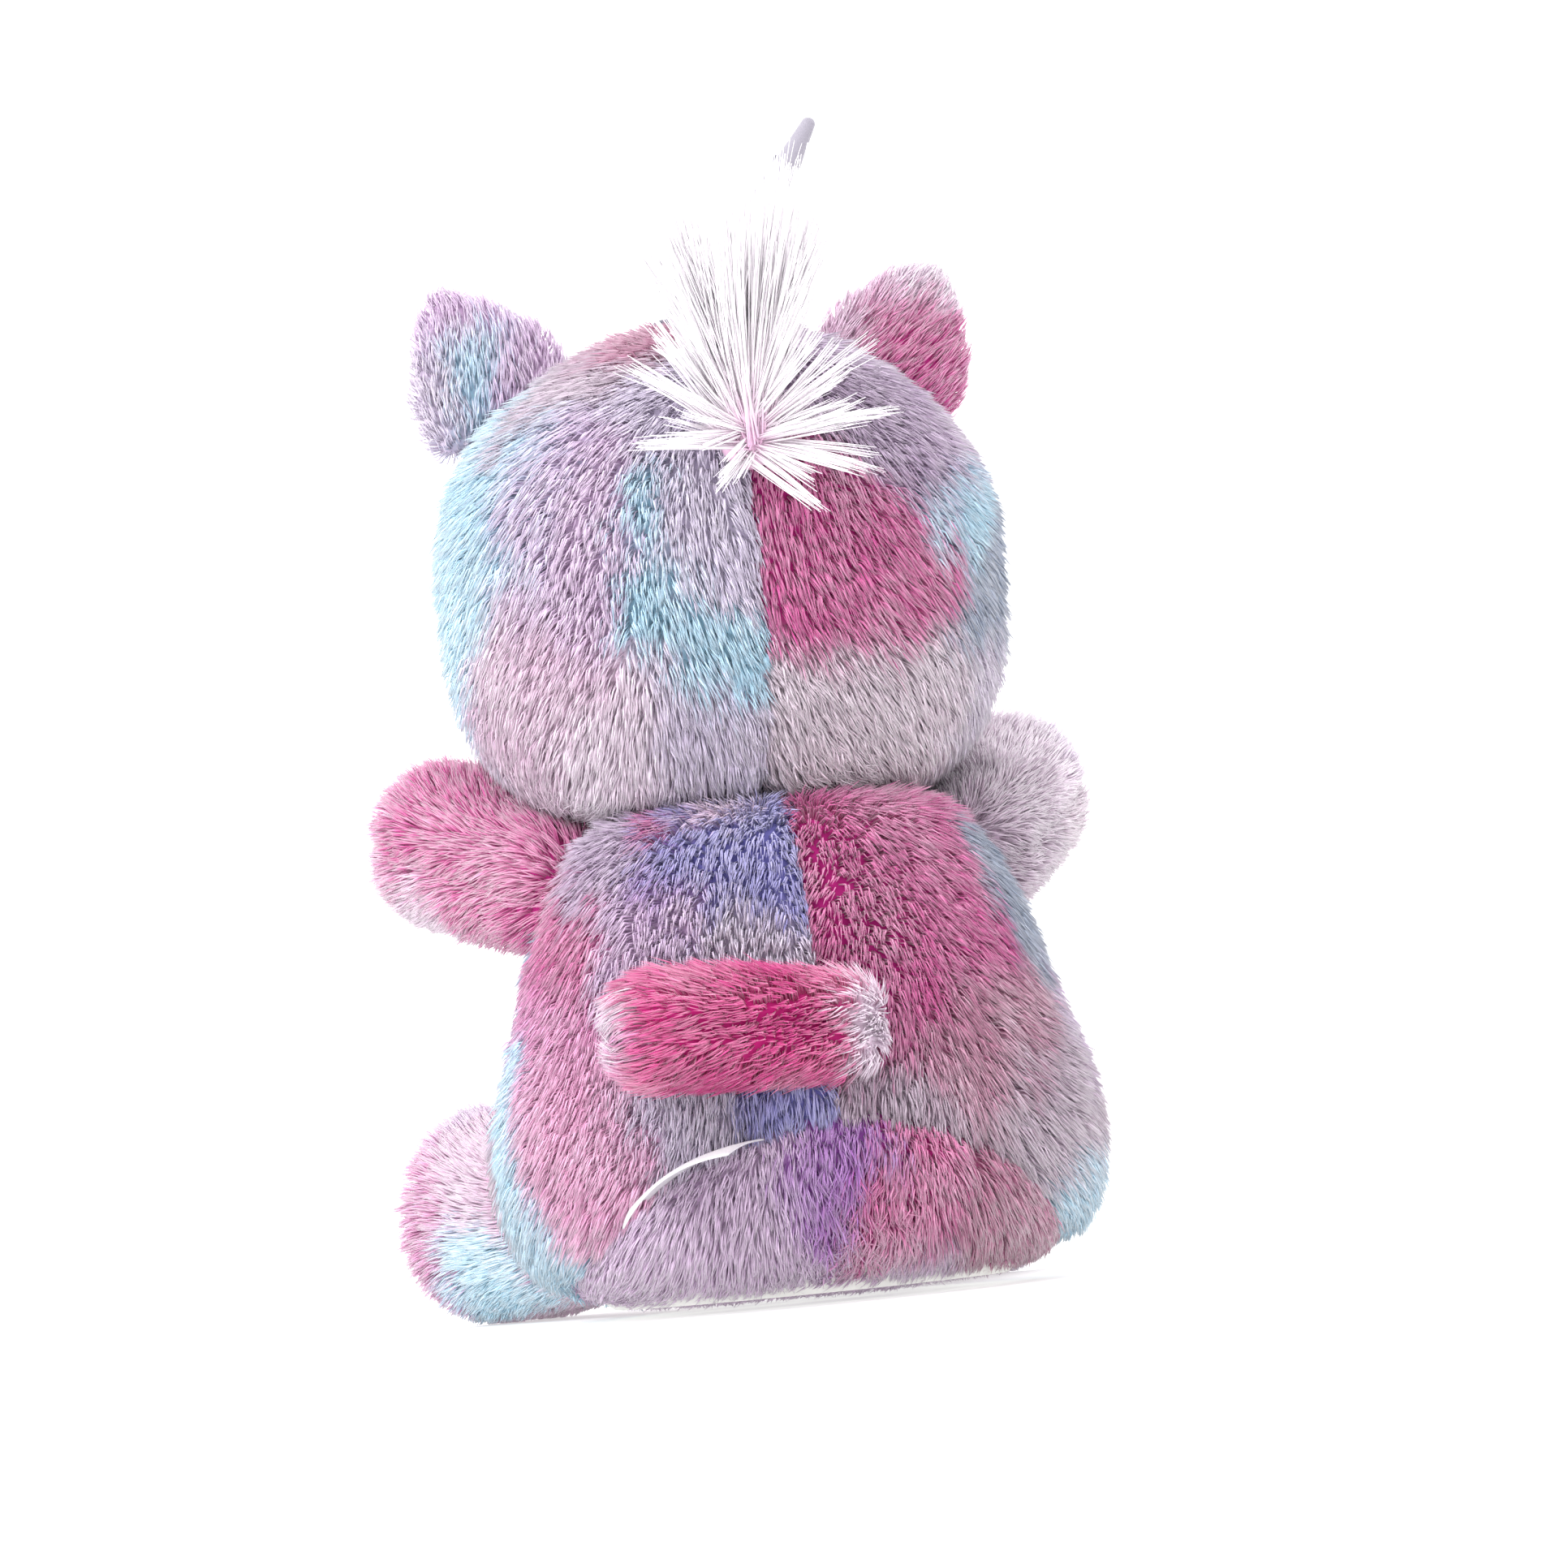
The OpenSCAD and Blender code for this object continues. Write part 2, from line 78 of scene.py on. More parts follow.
# ---- Dyes: the colour at the root of the pile, in sRGB ----
DYES = {
    "magenta": (188, 22, 130),
    "pink": (202, 115, 171),
    "hot": (196, 8, 122),
    "light_pink": (216, 146, 188),
    "rose": (167, 77, 123),
    "dusty": (168, 144, 165),
    "mauve": (201, 171, 205),
    "lilac": (171, 145, 178),
    "lavender": (194, 180, 202),
    "purple": (157, 83, 179),
    "periwinkle": (120, 116, 189),
    "sky": (162, 204, 224),
    "ice": (186, 226, 244),
    "grey_lilac": (194, 182, 207),
    "pink_lilac": (210, 176, 201),
    "pale_pink": (222, 204, 220),
    "silver": (200, 181, 195),
    "blue_grey": (119, 135, 161),
}
TIP_WHITE = (246, 240, 246)

# Patches of dye on each skin: where, how far it reaches, and which dye. Seen from behind,
# +X is on the left.
PATCHES = {
    "head": [
        ((53, 12, 166), 17, "sky"),
        ((46, -6, 186), 13, "sky"),
        ((58, 0, 150), 13, "ice"),
        ((35, 9, 194), 13, "dusty"),
        ((20, 9, 201), 9, "rose"),
        ((41, 29, 165), 12, "mauve"),
        ((44, 29, 150), 12, "mauve"),
        ((27, 40, 163), 6, "sky"),
        ((22, 41, 143), 8, "sky"),
        ((10, 40, 130), 8, "sky"),
        ((10, 44, 160), 13, "grey_lilac"),
        ((14, 39, 178), 12, "grey_lilac"),
        ((46, 17, 132), 14, "pink_lilac"),
        ((33, 21, 120), 12, "pale_pink"),
        ((17, 30, 119), 10, "grey_lilac"),
        ((-12, 45, 156), 14, "magenta"),
        ((-26, 41, 151), 13, "magenta"),
        ((-15, 42, 141), 11, "magenta"),
        ((-29, 31, 181), 14, "lilac"),
        ((-22, 20, 194), 13, "lilac"),
        ((-44, 28, 163), 10, "sky"),
        ((-51, 16, 141), 13, "blue_grey"),
        ((-17, 32, 120), 13, "silver"),
        ((-30, 16, 117), 11, "silver"),
        ((-43, 10, 122), 11, "lavender"),
    ],
    "torso": [
        ((28, 24, 106), 8, "magenta"),
        ((12, 28, 106), 7, "pink_lilac"),
        ((20, 38, 94), 14, "periwinkle"),
        ((5, 41, 93), 11, "periwinkle"),
        ((28, 37, 87), 9, "purple"),
        ((42, 22, 93), 11, "lilac"),
        ((34, 35, 78), 11, "mauve"),
        ((8, 46, 72), 9, "lavender"),
        ((49, 21, 74), 11, "magenta"),
        ((53, 19, 61), 12, "pink"),
        ((54, 24, 46), 12, "light_pink"),
        ((48, 34, 36), 12, "light_pink"),
        ((60, 10, 44), 9, "ice"),
        ((58, 14, 26), 9, "sky"),
        ((34, 44, 42), 10, "grey_lilac"),
        ((16, 52, 41), 7, "periwinkle"),
        ((2, 54, 41), 7, "periwinkle"),
        ((29, 45, 25), 12, "mauve"),
        ((38, 37, 17), 10, "mauve"),
        ((5, 50, 26), 8, "purple"),
        ((-12, 48, 22), 10, "magenta"),
        ((-26, 43, 18), 10, "rose"),
        ((-48, 24, 17), 9, "sky"),
        ((15, 42, 8), 11, "mauve"),
        ((-12, 40, 6), 10, "mauve"),
        ((-16, 39, 94), 14, "magenta"),
        ((-27, 41, 74), 13, "magenta"),
        ((-10, 46, 66), 12, "magenta"),
        ((-48, 20, 72), 11, "blue_grey"),
        ((-57, 18, 55), 9, "lilac"),
        ((-33, 44, 50), 14, "rose"),
        ((-20, 49, 34), 13, "dusty"),
        ((-46, 34, 33), 13, "dusty"),
    ],
    "arm_left": [
        ((52, -20, 97), 12, "magenta"),
        ((60, -34, 106), 13, "magenta"),
        ((70, -54, 108), 9, "pale_pink"),
        ((62, -40, 90), 9, "pink_lilac"),
    ],
    "arm_right": [
        ((-50, -20, 96), 12, "dusty"),
        ((-60, -36, 108), 12, "pale_pink"),
        ((-66, -52, 110), 10, "lavender"),
        ((-66, -36, 96), 9, "silver"),
    ],
    "leg_left": [
        ((40, -54, 42), 12, "pink"),
        ((58, -58, 34), 10, "pink_lilac"),
        ((66, -72, 26), 9, "pink"),
        ((62, -60, 8), 10, "ice"),
        ((46, -80, 44), 10, "mauve"),
        ((34, -76, 16), 13, "pink_lilac"),
    ],
    "leg_right": [
        ((-40, -54, 42), 12, "mauve"),
        ((-60, -62, 34), 10, "pink"),
        ((-66, -76, 18), 9, "lavender"),
        ((-50, -80, 44), 10, "pale_pink"),
        ((-34, -76, 16), 13, "pink_lilac"),
    ],
    "tail": [
        ((-9, 58, 55), 7, "pale_pink"),
        ((8, 58, 55), 11, "hot"),
        ((24, 60, 56), 11, "hot"),
        ((37, 61, 57), 6, "pink"),
        ((48, 62, 58), 8, "pale_pink"),
    ],
    "ear_left": [
        ((50, -16, 200), 8, "sky"),
        ((40, -16, 196), 8, "mauve"),
        ((56, -16, 212), 10, "mauve"),
        ((62, -16, 200), 9, "lavender"),
    ],
    "ear_right": [
        ((-46, -16, 198), 9, "magenta"),
        ((-62, -16, 198), 9, "pink"),
        ((-56, -16, 213), 11, "pale_pink"),
        ((-40, -16, 204), 8, "pink_lilac"),
    ],
    "velour": [((0, -72, 140), 30, "pale_pink"), ((30, -60, 20), 30, "pink_lilac")],
}
EDGE_RAGGED = ((3.4, 11), (2.0, 3.2))  # how far a patch's edge wanders, and over what distance
EDGE_MIXED = 1.9  # how far single tufts stray over an edge
EDGE_SHARP = 2.2  # how quickly one dye gives way to the next


def linear(srgb):
    """An sRGB colour out of 255 as linear light."""
    c = np.array(srgb, float) / 255
    return np.where(c <= 0.04045, c / 12.92, ((c + 0.055) / 1.055) ** 2.4)


# ---- Smooth random fields ----
WAVES = rng.normal(size=(3, 7, 3))
PHASES = rng.uniform(0, 2 * math.pi, size=(3, 7))


def wobble(p, scale):
    """A smooth random vector, about one long, that changes over the scale."""
    parts = [np.sin(p @ WAVES[k].T / scale + PHASES[k]).sum(axis=1) for k in range(3)]
    return np.stack(parts, axis=1) / 2.6


def dye_at(p, patches):
    """The dye at each point: the nearest patch wins, with ragged and softly mixed edges."""
    (far, wide), (near, narrow) = EDGE_RAGGED
    q = p + far * wobble(p, wide) + near * wobble(p + 50, narrow)
    q = q + rng.normal(0, EDGE_MIXED, p.shape)
    pull = np.stack([-np.sum(((q - np.array(c)) / r) ** 2, axis=1) for c, r, _ in patches], axis=1)
    share = np.exp(EDGE_SHARP * (pull - pull.max(axis=1, keepdims=True)))
    share /= share.sum(axis=1, keepdims=True)
    return share @ np.stack([linear(DYES[dye]) for _, _, dye in patches])


# ---- Distance fields of the padded forms ----
def length(v):
    """The length of each row."""
    return np.linalg.norm(v, axis=1)


def ellipsoid(p, centre, radii):
    """About how far each place is outside an ellipsoid."""
    q = p - centre
    k0 = length(q / radii)
    k1 = length(q / radii**2)
    return k0 * (k0 - 1) / np.maximum(k1, 1e-9)


def ball(p, centre, radius):
    return length(p - np.array(centre)) - radius


def smooth_min(a, b, k):
    """The lesser of two distances, with the crease between them rounded over k."""
    h = np.clip(0.5 + 0.5 * (b - a) / k, 0, 1)
    return b * (1 - h) + a * h - k * h * (1 - h)


def smooth_max(a, b, k):
    return -smooth_min(-a, -b, k)


def socketed(form, p, centre, radius):
    """The form with a round hollow in it."""
    return smooth_max(form, -ball(p, centre, radius), SOCKET_EDGE)


def basis(direction):
    """Rows are the local X, Y and Z axes of a part that points along the direction."""
    z = np.array(direction, float)
    z /= np.linalg.norm(z)
    y = np.array([-z[1], z[0], 0])
    y /= np.linalg.norm(y)
    return np.stack([np.cross(y, z), y, z])


def local(p, origin, direction):
    """Places in the axes of a part that starts at the origin and points along the direction."""
    return (p - np.array(origin)) @ basis(direction).T


def limb(q, long, r0, r1):
    """A taper with round ends, along local Z."""
    t = np.clip(q[:, 2] / long, 0, 1)
    axis = np.zeros_like(q)
    axis[:, 2] = t * long
    return length(q - axis) - (r0 + (r1 - r0) * t)


def torso_form(p):
    """The body before its sockets: a wide seat and a narrower chest, flat above and below."""
    body = smooth_min(ellipsoid(p, SEAT_C, SEAT_R), ellipsoid(p, CHEST_C, CHEST_R), 12)
    body = smooth_max(body, p[:, 2] - TORSO_TOP, 6)
    return smooth_max(body, SEAT_BOTTOM - p[:, 2], 14)


def torso(p):
    body = torso_form(p)
    for side in (-1, 1):
        mirror = np.array([side, 1, 1])
        body = socketed(body, p, mirror * SHOULDER, ARM_R0 + SOCKET_ROOM["shoulder"])
        body = socketed(body, p, mirror * HIP, LEG_R0 + SOCKET_ROOM["hip"])
    body = socketed(body, p, TAIL, TAIL_R0 + SOCKET_ROOM["tail"])
    return socketed(body, p, NECK, NECK_R + SOCKET_ROOM["neck"])


def head_form(p):
    """The head before its sockets: a skull, wide cheeks and a muzzle."""
    skull = smooth_min(ellipsoid(p, HEAD_C, HEAD_R), ellipsoid(p, CHEEK_C, CHEEK_R), 8)
    skull = smooth_max(skull, HEAD_BOTTOM - p[:, 2], 6)
    return smooth_min(skull, ellipsoid(p, MUZZLE_C, MUZZLE_R), 5)


def head(p):
    skull = socketed(head_form(p), p, HORN, HORN_R + SOCKET_ROOM["horn"])
    return socketed(skull, p, NECK, NECK_R + SOCKET_ROOM["neck"])


def arm(p):
    return limb(local(p, SHOULDER, ARM_DIR), ARM_L, ARM_R0, ARM_R1)


def leg(p):
    """A leg with a flat sole, flattened where it lies on the floor."""
    q = local(p, HIP, LEG_DIR)
    form = limb(q, LEG_L, LEG_R0, LEG_R1)
    form = smooth_max(form, q[:, 2] - LEG_L, LEG_EDGE)
    return smooth_max(form, LEG_BOTTOM - p[:, 2], 3)


def tail(p):
    return limb(local(p, TAIL, TAIL_DIR), TAIL_L, TAIL_R0, TAIL_R1)


EAR_AXES = np.array(
    [
        [math.cos(math.radians(EAR_LEAN)), 0, -math.sin(math.radians(EAR_LEAN))],
        [0, 1, 0],
        [math.sin(math.radians(EAR_LEAN)), 0, math.cos(math.radians(EAR_LEAN))],
    ]
)
EAR_ARC = 26  # radius of each of the two arcs that bound an ear
EAR_HALF_THICK = 2.6
EAR_CUP = 0.010  # how far its edges come forward, over the square of their distance
EAR_MIDDLE_Y = 0.4
EAR_FOOT = 2.4  # how far it goes down past its hem
LINING_EDGE, LINING_FOOT, LINING_FRONT = 2.5, 2, -0.6


def ear(p):
    """A leaf with a round tip, slightly cupped forward at its edges."""
    q = (p - np.array(EAR)) @ EAR_AXES.T
    off = EAR_ARC - EAR_W / 2
    mid = EAR_H - math.sqrt(EAR_ARC**2 - off**2)
    sides = [length(q[:, [0, 2]] - [s * off, mid]) - EAR_ARC for s in (-1, 1)]
    leaf = smooth_max(sides[0], sides[1], 4)
    leaf = smooth_max(leaf, -EAR_FOOT - q[:, 2], 2)
    cup = EAR_CUP * q[:, 0] ** 2
    plate = np.abs(q[:, 1] - EAR_MIDDLE_Y + cup) - EAR_HALF_THICK
    return smooth_max(leaf, plate, 3)


# ---- Which panel each place of a skin belongs to ----
def torso_panels(p):
    seat = length(p[:, [0, 2]] - [0, SEAT_SEAM_Z]) < SEAT_SEAM_R
    front = p[:, 1] < SIDE_SEAM_Y
    back = np.where(p[:, 0] > 0, "torso_back_left", "torso_back_right")
    return np.where(front, "belly_panel", np.where(seat, "seat_panel", back))


def head_panels(p):
    back = np.where(p[:, 0] > HEAD_X, "head_back_left", "head_back_right")
    face = np.where(ellipsoid(p, MUZZLE_C, MUZZLE_R) < 1.0, "muzzle_cover", "face_panel")
    return np.where(p[:, 1] < FACE_SEAM_Y, face, back)


def arm_panels(p):
    return np.where(local(p, SHOULDER, ARM_DIR)[:, 0] < 0, "upper", "under")


def leg_panels(p):
    q = local(p, HIP, LEG_DIR)
    sole = (q[:, 2] > LEG_L - SOLE_DEPTH) & (length(q[:, :2]) < SOLE_R)
    return np.where(sole, "sole", np.where(q[:, 1] > 0, "outer", "inner"))


def tail_panels(p):
    return np.where(local(p, TAIL, TAIL_DIR)[:, 0] < 0, "tail_upper", "tail_under")


def ear_panels(p):
    q = (p - np.array(EAR)) @ EAR_AXES.T
    edge = np.minimum(EAR_W / 2 - np.abs(q[:, 0]), EAR_H - q[:, 2])
    inside = (q[:, 1] < LINING_FRONT) & (edge > LINING_EDGE) & (q[:, 2] > LINING_FOOT)
    return np.where(inside, "lining", "back")


# ---- Skins ----
def sphere_net(level):
    """The points and triangles of a round ball, one long."""
    net = bmesh.new()
    bmesh.ops.create_icosphere(net, subdivisions=level, radius=1)
    points = np.array([v.co[:] for v in net.verts])
    triangles = np.array([[v.index for v in f.verts] for f in net.faces])
    net.free()
    return points, triangles


def mirrored_in(middle, p):
    """Places on the other side of the plane that x = middle makes."""
    return p * [-1, 1, 1] + [2 * middle, 0, 0]


FURTHEST = 110.0  # past the surface of every skin, from the place inside it
HALVINGS = 26


def star_skin(form, centre, level):
    """The surface of a form, found along rays from a place inside it."""
    rays, triangles = sphere_net(level)
    near = np.zeros(len(rays))
    far = np.full(len(rays), FURTHEST)
    for _ in range(HALVINGS):
        middle = (near + far) / 2
        inside = form(np.array(centre) + rays * middle[:, None]) < 0
        near = np.where(inside, middle, near)
        far = np.where(inside, far, middle)
    return np.array(centre) + rays * near[:, None], triangles


def mesh_of(name, points, triangles):
    mesh = bpy.data.meshes.new(name)
    mesh.from_pydata((points * MM).tolist(), [], triangles.tolist())
    return mesh


def normals_of(points, triangles):
    corner = points[triangles]
    flat = np.cross(corner[:, 1] - corner[:, 0], corner[:, 2] - corner[:, 0])
    normal = np.zeros_like(points)
    for k in range(3):
        np.add.at(normal, triangles[:, k], flat)
    return normal / np.maximum(length(normal), 1e-9)[:, None]


def seam_points(triangles, panel):
    """The points where two panels meet."""
    first = {}
    shared = set()
    for face, name in zip(triangles.tolist(), panel):
        for v in face:
            if first.setdefault(v, name) != name:
                shared.add(v)
    return sorted(shared)


PUFF_FRAMES = 20
PUFF_LIMIT = 1.8  # the furthest that a point of the skin may move
PUFF_PRESSURE = 4
CLOTH_STIFFNESS = 12
CLOTH_BENDING = 0.6
CLOTH_MASS = 0.3
SEAM_DEPTH, SEAM_WIDTH = 1.3, 2.4


def puffed(name, points, triangles, seams):
    """The skin after its filling has pushed it out between its seams, as simulated cloth."""
    skin = bpy.data.objects.new(name + "_cloth", mesh_of(name + "_cloth", points, triangles))
    bpy.context.scene.collection.objects.link(skin)
    group = skin.vertex_groups.new(name="seam")
    group.add([int(v) for v in seams], 1.0, "REPLACE")
    cloth = skin.modifiers.new("Cloth", "CLOTH")
    cloth.settings.vertex_group_mass = "seam"
    cloth.settings.quality = 5
    cloth.settings.mass = CLOTH_MASS
    cloth.settings.tension_stiffness = CLOTH_STIFFNESS
    cloth.settings.compression_stiffness = CLOTH_STIFFNESS
    cloth.settings.bending_stiffness = CLOTH_BENDING
    cloth.settings.use_pressure = True
    cloth.settings.uniform_pressure_force = PUFF_PRESSURE
    cloth.settings.effector_weights.gravity = 0
    cloth.point_cache.frame_start = 1
    cloth.point_cache.frame_end = PUFF_FRAMES
    scene = bpy.context.scene
    for step in range(1, PUFF_FRAMES + 1):
        scene.frame_set(step)
    shown = skin.evaluated_get(bpy.context.evaluated_depsgraph_get())
    out = np.empty(len(points) * 3, np.float32)
    shown.data.vertices.foreach_get("co", out)
    scene.frame_set(1)
    bpy.data.objects.remove(skin)
    move = out.reshape(-1, 3) / MM - points
    far = length(move)
    return points + move * np.minimum(1, PUFF_LIMIT / np.maximum(far, 1e-6))[:, None]


def grooved(points, normals, seams):
    """The skin drawn in along its seams, and a way to look up the nearest seam."""
    tree = KDTree(len(seams))
    for i, v in enumerate(seams):
        tree.insert(points[v], i)
    tree.balance()
    away = np.array([tree.find(p)[2] for p in points])
    return points - normals * (SEAM_DEPTH * np.exp(-((away / SEAM_WIDTH) ** 2)))[:, None], tree


# ---- Pile ----
STATIONS = (0.0, 0.5, 1.0)  # a tuft's two rings and its tip, from its root
LEADER_SHARE = 0.85  # how closely a gathered tip follows the tuft that leads its clump
OFF_FLOOR = 0.15  # no point of the pile is lower than this
TUFT_POINTS = 7


def tuft_paths(root, normal, comb, long, lift):
    """A tuft's stations. It leaves the skin steeply and then lies down."""
    up = (long * np.sin(lift))[:, None] * normal
    over = (long * np.cos(lift))[:, None] * comb
    return [root + up * (1 - (1 - t) ** 1.7) + over * t**1.5 for t in STATIONS]


def gathered(paths, root, per_clump, share):
    """Draws the tips of neighbouring tufts together into clumps."""
    leaders = rng.choice(len(root), max(1, len(root) // per_clump), replace=False)
    tree = KDTree(len(leaders))
    for i, v in enumerate(leaders):
        tree.insert(root[v], i)
    tree.balance()
    lead = leaders[np.array([tree.find(p)[1] for p in root])]
    for k in range(1, len(paths)):
        pull = share * STATIONS[k] ** 1.2
        led = paths[k][lead] * LEADER_SHARE + paths[k] * (1 - LEADER_SHARE)
        paths[k] = paths[k] * (1 - pull) + led * pull
    return paths, lead


def tuft_mesh(paths, width):
    """Points of three-sided tapering tufts: two rings of three points and a tip."""
    count = len(width)
    run = paths[-1] - paths[0]
    run /= np.maximum(length(run), 1e-6)[:, None]
    side = np.cross(run, rng.normal(size=run.shape))
    side /= np.maximum(length(side), 1e-6)[:, None]
    other = np.cross(run, side)
    points = np.empty((count, TUFT_POINTS, 3))
    for ring, taper in enumerate((1.0, 0.85)):
        for k in range(3):
            turn = 2 * math.pi * k / 3
            out = side * math.cos(turn) + other * math.sin(turn)
            points[:, ring * 3 + k] = paths[ring] + out * (width * taper)[:, None]
    points[:, -1] = paths[-1]
    return points


# Faces of one tuft by its point numbers, and where their corners are in its texture cell.
TUFT_QUADS = [(k, (k + 1) % 3, 3 + (k + 1) % 3, 3 + k) for k in range(3)]
TUFT_TIPS = [(3 + k, 3 + (k + 1) % 3, 6) for k in range(3)]
QUAD_CELL = [[(k / 3, 0), ((k + 1) / 3, 0), ((k + 1) / 3, 0.5), (k / 3, 0.5)] for k in range(3)]
TIP_CELL = [[(k / 3, 0.5), ((k + 1) / 3, 0.5), ((k + 0.5) / 3, 1.0)] for k in range(3)]


def cell_corners(first, count, per_row, corners):
    """Texture coordinates of the same corners in each of a run of square cells."""
    cells = np.arange(first, first + count)
    low = np.stack([cells % per_row, cells // per_row], axis=1)[:, None, :]
    inner = 0.1 + 0.8 * np.array(corners)[None, :, :]
    return ((low + inner) / per_row).reshape(-1, 2)


def fabric_object(name, tufts, tuft_colours, skin_points, skin_faces, skin_colours, material):
    """One mesh of tufts over their patch of skin, with a colour at each point."""
    count, faces = len(tufts), len(skin_faces)
    points = np.concatenate([tufts.reshape(-1, 3), skin_points])
    points[:, 2] = np.maximum(points[:, 2], OFF_FLOOR)
    colours = np.concatenate([tuft_colours.reshape(-1, 3), skin_colours])
    base = (np.arange(count) * TUFT_POINTS)[:, None]
    quads = (base + np.array(TUFT_QUADS).reshape(1, -1)).reshape(-1)
    tips = (base + np.array(TUFT_TIPS).reshape(1, -1)).reshape(-1)
    skin = (skin_faces + count * TUFT_POINTS).reshape(-1)
    sizes = np.concatenate([np.full(count * 3, 4), np.full(count * 3, 3), np.full(faces, 3)])
    starts = np.concatenate([[0], np.cumsum(sizes)[:-1]])
    mesh = bpy.data.meshes.new(name)
    mesh.vertices.add(len(points))
    mesh.vertices.foreach_set("co", (points * MM).astype(np.float32).ravel())
    mesh.loops.add(int(sizes.sum()))
    mesh.loops.foreach_set("vertex_index", np.concatenate([quads, tips, skin]).astype(np.int32))
    mesh.polygons.add(len(sizes))
    mesh.polygons.foreach_set("loop_start", starts.astype(np.int32))
    mesh.update(calc_edges=True)
    mesh.shade_smooth()
    shade = mesh.attributes.new("dye", "FLOAT_COLOR", "POINT")
    rgba = np.concatenate([colours, np.ones((len(colours), 1))], axis=1)
    shade.data.foreach_set("color", rgba.astype(np.float32).ravel())
    per_row = math.ceil(math.sqrt(count + faces + 1))
    quad_uv = cell_corners(0, count, per_row, np.array(QUAD_CELL).reshape(-1, 2))
    tip_uv = cell_corners(0, count, per_row, np.array(TIP_CELL).reshape(-1, 2))
    skin_uv = cell_corners(count, faces, per_row, [(0, 0), (1, 0), (0.5, 1)])
    layer = mesh.uv_layers.new(name="OFBake")
    uv = np.concatenate([quad_uv, tip_uv, skin_uv])
    layer.uv.foreach_set("vector", uv.astype(np.float32).ravel())
    mesh.materials.append(material)
    made = bpy.data.objects.new(name, mesh)
    bpy.context.scene.collection.objects.link(made)
    return made


# ---- Materials ----
def new_material(name):
    material = bpy.data.materials.new(name)
    material.use_nodes = True
    return material, material.node_tree.nodes, material.node_tree.links


def plush_material(name, sheen, grain):
    """Pile whose colour is the dye at each point, with a fine change from fibre to fibre."""
    material, nodes, links = new_material(name)
    shader = nodes["Principled BSDF"]
    dye = nodes.new("ShaderNodeAttribute")
    dye.attribute_name = "dye"
    place = nodes.new("ShaderNodeTexCoord")
    noise = nodes.new("ShaderNodeTexNoise")
    noise.inputs["Scale"].default_value = grain
    noise.inputs["Detail"].default_value = 3
    links.new(place.outputs["Object"], noise.inputs["Vector"])
    tone = nodes.new("ShaderNodeMapRange")
    tone.inputs["To Min"].default_value = 0.90
    tone.inputs["To Max"].default_value = 1.08
    links.new(noise.outputs["Fac"], tone.inputs["Value"])
    mix = nodes.new("ShaderNodeMix")
    mix.data_type = "RGBA"
    mix.blend_type = "MULTIPLY"
    mix.inputs["Factor"].default_value = 1
    links.new(dye.outputs["Color"], mix.inputs["A"])
    links.new(tone.outputs["Result"], mix.inputs["B"])
    links.new(mix.outputs["Result"], shader.inputs["Base Color"])
    shader.inputs["Roughness"].default_value = 0.6
    shader.inputs["Specular IOR Level"].default_value = 0.25
    shader.inputs["Sheen Weight"].default_value = sheen
    shader.inputs["Sheen Roughness"].default_value = 0.5
    return material


def plain_material(name, colour, roughness, grain=900, depth=0.15, **sockets):
    """A surface with a little colour change and a fine bump."""
    material, nodes, links = new_material(name)
    shader = nodes["Principled BSDF"]
    place = nodes.new("ShaderNodeTexCoord")
    noise = nodes.new("ShaderNodeTexNoise")
    noise.inputs["Scale"].default_value = grain
    noise.inputs["Detail"].default_value = 4
    links.new(place.outputs["Object"], noise.inputs["Vector"])
    ramp = nodes.new("ShaderNodeValToRGB")
    ramp.color_ramp.elements[0].position = 0.25
    ramp.color_ramp.elements[1].position = 0.75
    ramp.color_ramp.elements[0].color = (*(linear(colour) * 0.88), 1)
    ramp.color_ramp.elements[1].color = (*linear(colour), 1)
    links.new(noise.outputs["Fac"], ramp.inputs["Fac"])
    links.new(ramp.outputs["Color"], shader.inputs["Base Color"])
    bump = nodes.new("ShaderNodeBump")
    bump.inputs["Strength"].default_value = depth
    bump.inputs["Distance"].default_value = 0.0005
    links.new(noise.outputs["Fac"], bump.inputs["Height"])
    links.new(bump.outputs["Normal"], shader.inputs["Normal"])
    shader.inputs["Roughness"].default_value = roughness
    for socket, value in sockets.items():
        shader.inputs[socket.replace("_", " ")].default_value = value
    return material


PILE = plush_material("long_pile", sheen=0.5, grain=700)
VELOUR = plush_material("short_pile", sheen=0.35, grain=1400)
FIBRE = plush_material("mane_fibre", sheen=0.2, grain=500)
FILL = plain_material("fill_fibre", (238, 238, 234), 0.9, grain=300, depth=0.6)
POUCH = plain_material("pouch_cloth", (228, 226, 216), 0.85, grain=1500, depth=0.4)
PELLET = plain_material("pellets", (225, 225, 220), 0.5, grain=400, depth=0.8)
HORN_CLOTH = plain_material(
    "horn_lame", (142, 137, 150), 0.35, grain=2600, depth=0.5, Sheen_Weight=0.1, Coat_Weight=0.1
)
CORD = plain_material("horn_cord", (138, 138, 152), 0.32, grain=2200, depth=0.5, Metallic=0.6)
SATIN = plain_material("label_satin", (204, 201, 206), 0.4, grain=2600, depth=0.1, Sheen_Weight=0.1)
EYE = plain_material(
    "eye_gloss", (9, 7, 9), 0.07, grain=60, depth=0.0, Coat_Weight=0.3, Specular_IOR_Level=0.3
)
WASHER = plain_material("washer_plastic", (235, 235, 230), 0.45, grain=500, depth=0.1)
THREAD = plain_material("stitch_thread", (160, 82, 120), 0.5, grain=3000, depth=0.6)

